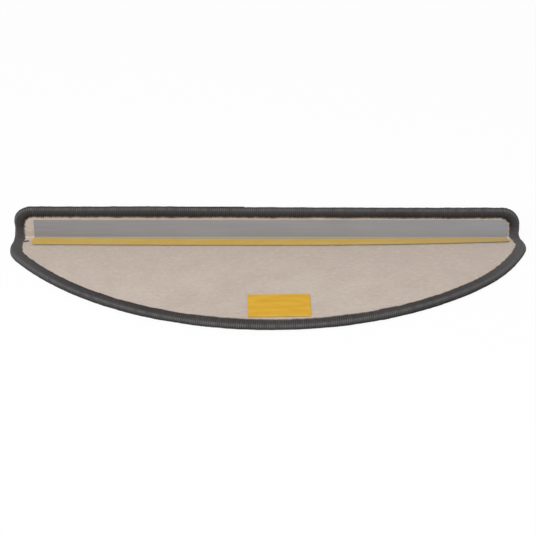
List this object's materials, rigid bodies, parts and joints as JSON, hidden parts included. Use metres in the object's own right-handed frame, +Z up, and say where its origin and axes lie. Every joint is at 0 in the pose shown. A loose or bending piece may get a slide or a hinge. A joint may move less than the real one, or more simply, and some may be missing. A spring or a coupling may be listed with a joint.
{
  "type": "stair tread mat",
  "caption": "Half-round stair tread mat with a turned-down nosing flap, whipped edge, felt backing, plastic angle in the fold and adhesive strips under release paper.",
  "frame": {"origin": "middle of the bounding box, on the floor that the mat lies on with its pile down", "axes": "+X along the fold, +Y towards the standing flap, +Z up, out of the backing"},
  "size_m": [0.6521, 0.2216, 0.052],
  "materials": {
    "carpet": "anthracite needled pile",
    "felt": "beige non-woven felt",
    "yarn": "thick anthracite yarn, turned round the edge",
    "angle_plastic": "plain grey, slightly satin",
    "adhesive": "clear tacky film on a thin carrier",
    "release_paper": "yellow siliconised paper"
  },
  "bodies": {
    "root": {"carpet_face": "carpet", "felt_backing": "felt", "edge_whipping": "yarn", "angle_profile": "angle_plastic", "nosing_tape": "adhesive", "nosing_tape_liner": "release_paper", "toe_tape": "adhesive", "toe_tape_liner": "release_paper"}
  },
  "joints": []
}
